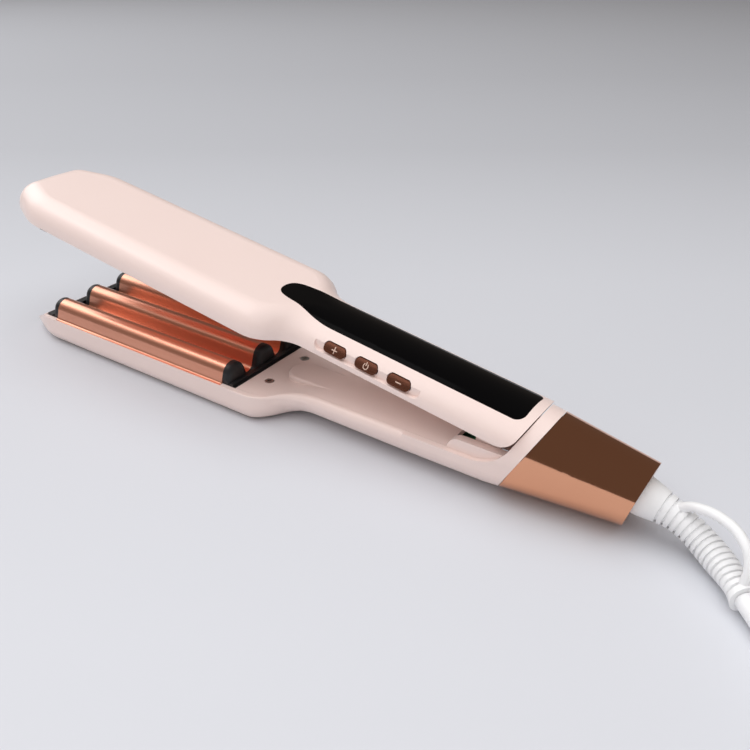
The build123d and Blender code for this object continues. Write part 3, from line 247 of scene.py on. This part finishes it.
class Finish:
    # one surface's node tree, or the room's when the room is its holder
    def __init__(self, name, holder=None):
        self.material = holder or bpy.data.materials.new(name)
        self.material.use_nodes = True
        self.tree = self.material.node_tree
        self.shader = self.tree.nodes.get("Principled BSDF")

    def node(self, kind, settings=None, sockets=None, output=0):
        made = self.tree.nodes.new(kind)
        for key, value in (settings or {}).items():
            if key == "stops":
                self.setStops(made.color_ramp, value)
            else:
                setattr(made, key, value)
        for key, value in (sockets or {}).items():
            self.feed(made.inputs[key], value)
        return Wire(self, made.outputs[output])

    def setStops(self, ramp, stops):
        # a new ramp already has its first and last stop
        for place, _ in stops[1:-1]:
            ramp.elements.new(place)
        for element, (place, paintedShade) in zip(ramp.elements, stops):
            element.position = place
            element.color = (paintedShade, paintedShade, paintedShade, 1)

    def feed(self, socket, value):
        if isinstance(value, Wire):
            self.tree.links.new(value.socket, socket)
        else:
            socket.default_value = value

    def surface(self, **sockets):
        for key, value in sockets.items():
            self.feed(self.shader.inputs[key.replace("_", " ")], value)

    def coordinates(self):
        return self.node("ShaderNodeTexCoord", output=3)

    def place(self, stretch):
        return self.node("ShaderNodeMapping", sockets={"Vector": self.coordinates(), "Scale": stretch})

    def noise(self, scale, detail, stretch=(1, 1, 1), rough=0.5):
        return self.node("ShaderNodeTexNoise", sockets={
            "Vector": self.place(stretch), "Scale": scale, "Detail": detail, "Roughness": rough})

    def streaks(self, stretch, detail, rough=0.5):
        # a pattern drawn out along the axis of the smallest stretch
        return self.noise(1.0, detail, stretch, rough)

    def ramp(self, value, stops):
        return self.node("ShaderNodeValToRGB", {"stops": stops}, {0: value})

    def tint(self, share, first, second):
        return self.node("ShaderNodeMix", {"data_type": "RGBA"}, {
            0: share, 6: (*first, 1), 7: (*second, 1)}, output=2)

    def bump(self, height, depth, strength):
        return self.node("ShaderNodeBump", sockets={
            "Height": height, "Distance": depth * mm, "Strength": strength})


# studio

studioFloor = {
    "size": 16.0,
    "tint": (0.93, 0.945, 1.0),
    "depthAxis": (-0.568, 0.823, 0.0),  # away from the camera
    "depthStart": -0.2,
    "depthScale": 0.7,
    # painted shade: the floor's colour darkens away from the camera, where less light falls
    "paintedShadeStops": [
        (0.0, 0.735), (0.05, 0.725), (0.14, 0.67), (0.22, 0.65), (0.40, 0.53), (0.60, 0.50), (1.0, 0.52),
    ],
    "roughness": 0.85,
    "gloss": 0.1,
}


def layFloor():
    deselectAll()
    bpy.ops.mesh.primitive_plane_add(size=studioFloor["size"])
    floor = nameNew("studioFloor")
    finish = Finish("paleFloor")
    depth = finish.node("ShaderNodeVectorMath", {"operation": "DOT_PRODUCT"}, {
        0: finish.coordinates(), 1: studioFloor["depthAxis"]}, output=1)
    # painted shade: the floor's base colour is darkened with distance from the camera
    paintedShade = finish.ramp(
        (depth - studioFloor["depthStart"]) * studioFloor["depthScale"], studioFloor["paintedShadeStops"])
    tinted = finish.node("ShaderNodeMix", {"data_type": "RGBA", "blend_type": "MULTIPLY"}, {
        0: 1.0, 6: paintedShade, 7: (*studioFloor["tint"], 1)}, output=2)
    finish.surface(
        Base_Color=tinted, Roughness=studioFloor["roughness"], Specular_IOR_Level=studioFloor["gloss"])
    floor.data.materials.append(finish.material)


studioLights = {
    "aim": (0.0, 0.0, 0.02),
    "lights": [  # name, place, size, power, colour, shows in reflections
        ("overheadLight", (-0.1, -0.2, 1.5), 2.4, 34.0, (0.975, 0.985, 1.0), False),
        ("leftSoftbox", (-1.25, 0.15, 0.75), 0.9, 5.0, (0.98, 0.985, 1.0), True),
        ("frontFill", (0.5, -1.6, 0.9), 1.4, 7.0, (0.975, 0.985, 1.0), False),
    ],
    "cards": [  # name, height, size, power: they face down and only reflections show them
        ("broadCard", 1.30, 1.7, 4.9),
        ("stripCard", 1.25, 0.42, 1.9),
    ],
    "cardMiddle": (-1.0, -0.55),
}


def addLight(name, place, size, power, turn=(0, 0, 0)):
    deselectAll()
    bpy.ops.object.light_add(type="AREA", location=place, rotation=turn)
    light = nameNew(name)
    light.data.size = size
    light.data.energy = power
    light.visible_camera = False
    return light


def hangLights():
    for name, place, size, power, color, reflected in studioLights["lights"]:
        aim = Vector(studioLights["aim"]) - Vector(place)
        light = addLight(name, place, size, power, aim.to_track_quat("-Z", "Y").to_euler())
        light.data.color = color
        light.visible_glossy = reflected
    for name, height, size, power in studioLights["cards"]:
        card = addLight(name, (*studioLights["cardMiddle"], height), size, power)
        card.visible_diffuse = False


studioRoom = {
    "reflected": (0.13, 0.108, 0.092, 1),
    "backdrop": (0.60, 0.60, 0.63, 1),
}


def paintRoom():
    world = bpy.data.worlds.new("studioRoom")
    bpy.context.scene.world = world
    room = Finish("studioRoom", world)
    seen = room.node("ShaderNodeLightPath")
    color = room.node("ShaderNodeMix", {"data_type": "RGBA"}, {
        0: seen, 6: studioRoom["reflected"], 7: studioRoom["backdrop"]}, output=2)
    room.feed(room.tree.nodes["Background"].inputs["Color"], color)
    bpy.context.scene.view_settings.view_transform = "Standard"


layFloor()
hangLights()
paintRoom()
print("studio ready")

# finishes of the iron's own parts: patterns are counted per metre, depths are in millimetres

pinkPaint = {
    "base": (0.905, 0.74, 0.688),
    "warm": (0.885, 0.695, 0.638),
    "mottle": 24,
    "smudge": 70,
    "peel": 900,
    "grain": 4200,
    "warmShare": 0.6,
    "roughness": 0.32,
    "smudgeRoughness": 0.12,
    "peelShare": 0.7,
    "depth": 0.02,
    "relief": 0.35,
    "coat": 0.35,
    "coatRoughness": 0.28,
    "sheen": 0.05,
}


def paintPink():
    finish = Finish("blushPaint")
    mottle = finish.noise(pinkPaint["mottle"], detail=3)
    smudge = finish.noise(pinkPaint["smudge"], detail=4, rough=0.6)
    peel = finish.noise(pinkPaint["peel"], detail=1)
    grain = finish.noise(pinkPaint["grain"], detail=2)
    skin = peel * pinkPaint["peelShare"] + grain * (1 - pinkPaint["peelShare"])
    finish.surface(
        Base_Color=finish.tint(mottle * pinkPaint["warmShare"], pinkPaint["base"], pinkPaint["warm"]),
        Roughness=smudge * pinkPaint["smudgeRoughness"] + pinkPaint["roughness"],
        Normal=finish.bump(skin, pinkPaint["depth"], pinkPaint["relief"]),
        Coat_Roughness=pinkPaint["coatRoughness"],
        Coat_Weight=pinkPaint["coat"],
        Sheen_Weight=pinkPaint["sheen"],
    )
    return finish.material


wavePlate = {
    "light": (0.97, 0.46, 0.31),
    "deep": (0.90, 0.38, 0.25),
    "streak": (5, 900, 900),
    "cloud": 45,
    "speck": 5200,
    "streakShare": 0.55,
    "cloudShare": 0.35,
    "metallic": 0.9,
    "roughness": 0.24,
    "streakRoughness": 0.08,
    "cloudRoughness": 0.05,
    "streakHeight": 0.8,
    "depth": 0.008,
    "relief": 0.4,
    "coat": 0.4,
    "coatRoughness": 0.16,
}


def coatWavePlate():
    finish = Finish("roseGoldCeramic")
    streak = finish.streaks(wavePlate["streak"], detail=3)
    cloud = finish.noise(wavePlate["cloud"], detail=3)
    speck = finish.noise(wavePlate["speck"], detail=1)
    shade = streak * wavePlate["streakShare"] + cloud * wavePlate["cloudShare"]
    dullness = streak * wavePlate["streakRoughness"] + cloud * wavePlate["cloudRoughness"]
    skin = streak * wavePlate["streakHeight"] + speck * (1 - wavePlate["streakHeight"])
    finish.surface(
        Base_Color=finish.tint(shade, wavePlate["light"], wavePlate["deep"]),
        Metallic=wavePlate["metallic"],
        Roughness=dullness + wavePlate["roughness"],
        Normal=finish.bump(skin, wavePlate["depth"], wavePlate["relief"]),
        Coat_Weight=wavePlate["coat"],
        Coat_Roughness=wavePlate["coatRoughness"],
    )
    return finish.material


blackFrame = {
    "base": (0.010, 0.010, 0.011),
    "worn": (0.022, 0.022, 0.024),
    "grain": 3600,
    "scuff": 160,
    "wornShare": 0.8,
    "roughness": 0.32,
    "scuffRoughness": 0.2,
    "depth": 0.03,
    "relief": 0.6,
}


def mouldBlackFrame():
    finish = Finish("mouldedBlack")
    grain = finish.noise(blackFrame["grain"], detail=3)
    scuff = finish.noise(blackFrame["scuff"], detail=4, rough=0.65)
    finish.surface(
        Base_Color=finish.tint(scuff * blackFrame["wornShare"], blackFrame["base"], blackFrame["worn"]),
        Roughness=scuff * blackFrame["scuffRoughness"] + blackFrame["roughness"],
        Normal=finish.bump(grain, blackFrame["depth"], blackFrame["relief"]),
    )
    return finish.material


copperCap = {
    "light": (0.80, 0.40, 0.245),
    "deep": (0.74, 0.345, 0.20),
    "cloud": 38,
    "wipe": (30, 260, 260),
    "deepShare": 0.7,
    "roughness": 0.07,
    "wipeRoughness": 0.06,
    "cloudHeight": 0.8,
    "depth": 0.06,
    "relief": 0.25,
}


def plateCopperCap():
    finish = Finish("polishedCopper")
    cloud = finish.noise(copperCap["cloud"], detail=3)
    wipe = finish.streaks(copperCap["wipe"], detail=4, rough=0.6)
    skin = cloud * copperCap["cloudHeight"] + wipe * (1 - copperCap["cloudHeight"])
    finish.surface(
        Base_Color=finish.tint(cloud * copperCap["deepShare"], copperCap["light"], copperCap["deep"]),
        Metallic=1.0,
        Roughness=wipe * copperCap["wipeRoughness"] + copperCap["roughness"],
        Normal=finish.bump(skin, copperCap["depth"], copperCap["relief"]),
    )
    return finish.material


screenLens = {
    "base": (0.0015, 0.0015, 0.0019),
    "hazed": (0.003, 0.003, 0.0034),
    "haze": 35,
    "smear": (60, 180, 60),
    "roughness": 0.05,
    "smearRoughness": 0.08,
    "gloss": 0.12,
}


def glossScreen():
    finish = Finish("blackScreen")
    haze = finish.noise(screenLens["haze"], detail=3)
    smear = finish.streaks(screenLens["smear"], detail=5, rough=0.65)
    finish.surface(
        Base_Color=finish.tint(haze, screenLens["base"], screenLens["hazed"]),
        Roughness=smear * screenLens["smearRoughness"] + screenLens["roughness"],
        Specular_IOR_Level=screenLens["gloss"],
    )
    return finish.material


keyPlating = {
    "light": (0.34, 0.135, 0.085),
    "deep": (0.22, 0.08, 0.05),
    "brush": (160, 1800, 1800),
    "metallic": 0.85,
    "roughness": 0.22,
    "brushRoughness": 0.1,
    "depth": 0.01,
    "relief": 0.5,
}


def plateKeys():
    finish = Finish("darkCopperKeys")
    brush = finish.streaks(keyPlating["brush"], detail=3)
    finish.surface(
        Base_Color=finish.tint(brush, keyPlating["light"], keyPlating["deep"]),
        Metallic=keyPlating["metallic"],
        Roughness=brush * keyPlating["brushRoughness"] + keyPlating["roughness"],
        Normal=finish.bump(brush, keyPlating["depth"], keyPlating["relief"]),
    )
    return finish.material


markPrint = {
    "light": (0.88, 0.66, 0.55),
    "deep": (0.74, 0.50, 0.40),
    "speck": 3000,
    "metallic": 0.3,
    "roughness": 0.35,
    "speckRoughness": 0.1,
}


def printMarks():
    finish = Finish("paleMarks")
    speck = finish.noise(markPrint["speck"], detail=2)
    finish.surface(
        Base_Color=finish.tint(speck, markPrint["light"], markPrint["deep"]),
        Roughness=speck * markPrint["speckRoughness"] + markPrint["roughness"],
        Metallic=markPrint["metallic"],
    )
    return finish.material


whitePlastic = {
    "cord": {"base": (0.92, 0.92, 0.93), "deep": (0.86, 0.86, 0.87), "roughness": 0.40, "grain": 2600},
    "rubber": {"base": (0.93, 0.93, 0.935), "deep": (0.88, 0.88, 0.885), "roughness": 0.34, "grain": 2100},
    "plug": {"base": (0.92, 0.92, 0.93), "deep": (0.86, 0.86, 0.87), "roughness": 0.30, "grain": 3200},
    "cloud": 55,
    "deepShare": 0.8,
    "cloudRoughness": 0.12,
    "depth": 0.025,
    "relief": 0.4,
}


def mouldWhite(kind):
    values = whitePlastic[kind]
    finish = Finish(kind + "White")
    cloud = finish.noise(whitePlastic["cloud"], detail=3)
    grain = finish.noise(values["grain"], detail=2)
    finish.surface(
        Base_Color=finish.tint(cloud * whitePlastic["deepShare"], values["base"], values["deep"]),
        Roughness=cloud * whitePlastic["cloudRoughness"] + values["roughness"],
        Normal=finish.bump(grain, whitePlastic["depth"], whitePlastic["relief"]),
    )
    return finish.material


bareMetal = {
    "steel": {"light": (0.66, 0.655, 0.64), "deep": (0.48, 0.475, 0.46), "roughness": 0.23, "lines": 900},
    "heater": {"light": (0.74, 0.74, 0.76), "deep": (0.55, 0.55, 0.57), "roughness": 0.35, "lines": 700},
    "sensor": {"light": (0.76, 0.60, 0.36), "deep": (0.55, 0.40, 0.22), "roughness": 0.27, "lines": 1100},
    "pin": {"light": (0.80, 0.74, 0.56), "deep": (0.64, 0.57, 0.40), "roughness": 0.13, "lines": 1300},
    "lineStretch": (1, 0.15, 0.15),
    "cloud": 120,
    "lineShare": 0.5,
    "lineRoughness": 0.14,
    "depth": 0.01,
    "relief": 0.5,
}


def finishMetal(kind):
    values = bareMetal[kind]
    finish = Finish(kind + "Metal")
    turned = finish.noise(values["lines"], detail=3, stretch=bareMetal["lineStretch"])
    cloud = finish.noise(bareMetal["cloud"], detail=2)
    shade = turned * bareMetal["lineShare"] + cloud * (1 - bareMetal["lineShare"])
    finish.surface(
        Base_Color=finish.tint(shade, values["light"], values["deep"]),
        Metallic=1.0,
        Roughness=turned * bareMetal["lineRoughness"] + values["roughness"],
        Normal=finish.bump(turned, bareMetal["depth"], bareMetal["relief"]),
    )
    return finish.material


micaSheet = {
    "light": (0.66, 0.58, 0.44),
    "deep": (0.42, 0.35, 0.25),
    "flakes": 420.0,
    "flakeStretch": (1, 1, 0.2),
    "roughness": 0.3,
    "flakeRoughness": 0.25,
}


def splitMica():
    finish = Finish("micaFlakes")
    flake = finish.node("ShaderNodeTexVoronoi", sockets={
        "Vector": finish.place(micaSheet["flakeStretch"]), "Scale": micaSheet["flakes"]}, output=1)
    shade = finish.node("ShaderNodeRGBToBW", sockets={0: flake})
    finish.surface(
        Base_Color=finish.tint(shade, micaSheet["light"], micaSheet["deep"]),
        Roughness=shade * micaSheet["flakeRoughness"] + micaSheet["roughness"],
    )
    return finish.material


circuitBoard = {
    "mask": (0.02, 0.13, 0.06),
    "track": (0.05, 0.24, 0.11),
    "cells": 620.0,
    "cellStretch": (1, 1, 0.05),
    "unevenness": 0.6,
    "trackStops": [(0.0, 1.0), (0.10, 1.0), (0.16, 0.0), (1.0, 0.0)],
    "roughness": 0.55,
    "trackPolish": 0.15,
    "depth": 0.03,
    "relief": 0.5,
}


def etchBoard():
    finish = Finish("circuitBoard")
    cells = finish.node(
        "ShaderNodeTexVoronoi", {"feature": "DISTANCE_TO_EDGE", "distance": "MANHATTAN"}, {
            "Vector": finish.place(circuitBoard["cellStretch"]), "Scale": circuitBoard["cells"],
            "Randomness": circuitBoard["unevenness"]})
    track = finish.ramp(cells, circuitBoard["trackStops"])
    finish.surface(
        Base_Color=finish.tint(track, circuitBoard["mask"], circuitBoard["track"]),
        Roughness=circuitBoard["roughness"] - track * circuitBoard["trackPolish"],
        Normal=finish.bump(track, circuitBoard["depth"], circuitBoard["relief"]),
    )
    return finish.material


displayPanel = {
    "face": (0.03, 0.033, 0.036),
    "edge": (0.12, 0.13, 0.14),
    "mesh": (1500, 1500, 200),
    "edgeShare": 0.4,
    "roughness": 0.3,
    "meshRoughness": 0.2,
}


def makeDisplay():
    finish = Finish("displayPanel")
    mesh = finish.streaks(displayPanel["mesh"], detail=2)
    finish.surface(
        Base_Color=finish.tint(mesh * displayPanel["edgeShare"], displayPanel["face"], displayPanel["edge"]),
        Roughness=mesh * displayPanel["meshRoughness"] + displayPanel["roughness"],
    )
    return finish.material


slotFinishes = {
    "pink_shell": paintPink(),
    "wave_plate": coatWavePlate(),
    "black_frame": mouldBlackFrame(),
    "copper_cap": plateCopperCap(),
    "screen": glossScreen(),
    "button": plateKeys(),
    "steel": finishMetal("steel"),
    "heater": finishMetal("heater"),
    "sensor": finishMetal("sensor"),
    "mica": splitMica(),
    "board": etchBoard(),
    "display": makeDisplay(),
    "white_rubber": mouldWhite("rubber"),
    "white_cord": mouldWhite("cord"),
    "white_plug": mouldWhite("plug"),
    "plug_pin": finishMetal("pin"),
}


def dressNodes():
    for node in nodes.values():
        for place in node.material_slots:
            place.material = slotFinishes[place.material.name.split(".")[0]]
    for piece in (mainsCord, tie):
        piece.data.materials.append(slotFinishes["white_cord"])


dressNodes()
print("finishes set")

# printed marks on the three keys

keyMarks = {
    "openAngle": 8.7,
    "bar": 0.34 * mm,
    "reach": 1.15 * mm,
    "ringRadius": 0.92 * mm,
    "ringSides": 48,
    "ringGap": 38,
    "barHeight": 0.8,  # of the ring's radius
    "thickness": 0.06 * mm,
    "lift": 0.02 * mm,
    "standOff": 2 * mm,  # from there a mark is pressed onto its key
    "cuts": 3,
    "edgeFound": 0.01 * mm,
    "doublesFound": 0.001 * mm,
    "arms": {
        "plus": [(1, 0, 0), (-1, 0, 0), (0, 1, 0), (0, -1, 0)],
        "minus": [(1, 0, 0), (-1, 0, 0)],
    },
    "keys": [("plus", "plus_key"), ("power", "power_key"), ("minus", "minus_key")],
}


def drawCross(sides):
    # a small square with an arm drawn out of each named side
    bpy.ops.mesh.primitive_plane_add(size=keyMarks["bar"])
    mark = bpy.context.object
    half = keyMarks["bar"] / 2
    for side in sides:
        foot = Vector(side) * half
        selectEdges(
            mark, lambda start, end: ((start + end) / 2 - foot).length < keyMarks["edgeFound"])
        bpy.ops.mesh.extrude_edges_move(
            TRANSFORM_OT_translate={"value": Vector(side) * (keyMarks["reach"] - half)})
        bpy.ops.object.mode_set(mode="OBJECT")
    return mark


def drawPower():
    # a ring, open at its top, and a bar that stands in the opening
    radius, half = keyMarks["ringRadius"], keyMarks["bar"] / 2
    bpy.ops.mesh.primitive_circle_add(vertices=keyMarks["ringSides"], radius=radius + half)
    ring = bpy.context.object
    bpy.ops.object.mode_set(mode="EDIT")
    bpy.ops.mesh.select_all(action="SELECT")
    bpy.ops.mesh.extrude_edges_move(TRANSFORM_OT_translate={"value": (0, 0, 0)})
    share = (radius - half) / (radius + half)
    bpy.ops.transform.resize(value=(share, share, 1), center_override=(0, 0, 0))
    bpy.ops.mesh.select_mode(type="FACE")
    bpy.ops.mesh.select_all(action="DESELECT")
    bpy.ops.object.mode_set(mode="OBJECT")
    gapFrom = radius * cos(radians(keyMarks["ringGap"]))
    for face in ring.data.polygons:
        face.select = face.center.y > gapFrom
    bpy.ops.object.mode_set(mode="EDIT")
    bpy.ops.mesh.delete(type="FACE")
    bpy.ops.object.mode_set(mode="OBJECT")
    bpy.ops.mesh.primitive_plane_add(
        size=keyMarks["bar"], location=(0, radius * keyMarks["barHeight"], 0))
    bar = bpy.context.object
    bar.scale.y = keyMarks["reach"] / keyMarks["bar"]
    bpy.ops.object.transform_apply(location=True, rotation=False, scale=True)
    ring.select_set(True)
    bpy.context.view_layer.objects.active = ring
    bpy.ops.object.join()
    return ring


def pressOnto(mark, key):
    # the mark stands upright before the key, then wraps onto its face and gets its thickness
    workOn(mark)
    bpy.ops.object.mode_set(mode="EDIT")
    bpy.ops.mesh.select_mode(type="FACE")
    bpy.ops.mesh.select_all(action="SELECT")
    bpy.ops.mesh.remove_doubles(threshold=keyMarks["doublesFound"])
    bpy.ops.mesh.subdivide(number_cuts=keyMarks["cuts"])
    bpy.ops.object.mode_set(mode="OBJECT")
    low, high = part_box(key)
    middle = (low + high) / 2
    mark.rotation_euler = (radians(90), radians(keyMarks["openAngle"]), 0)
    mark.location = (middle.x, low.y - keyMarks["standOff"], middle.z)
    bpy.ops.object.transform_apply(location=True, rotation=True, scale=True)
    wrap = mark.modifiers.new("ontoKey", "SHRINKWRAP")
    wrap.target = nodes[key]
    wrap.wrap_method = "PROJECT"
    wrap.use_project_y = True
    wrap.offset = keyMarks["lift"]
    skin = mark.modifiers.new("ink", "SOLIDIFY")
    skin.thickness = keyMarks["thickness"]
    skin.offset = 0
    for modifier in ("ontoKey", "ink"):
        bpy.ops.object.modifier_apply(modifier=modifier)
    bpy.ops.object.mode_set(mode="EDIT")
    bpy.ops.mesh.select_all(action="SELECT")
    bpy.ops.mesh.normals_make_consistent(inside=False)
    bpy.ops.object.mode_set(mode="OBJECT")


def printKeyMarks():
    finish = printMarks()
    for kind, body in keyMarks["keys"]:
        deselectAll()
        if kind == "power":
            drawPower()
        else:
            drawCross(keyMarks["arms"][kind])
        mark = nameNew(kind + "Mark")
        pressOnto(mark, "button_" + kind)
        mark.data.materials.append(finish)
        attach(mark, body)


printKeyMarks()
print("key marks printed")

deselectAll()
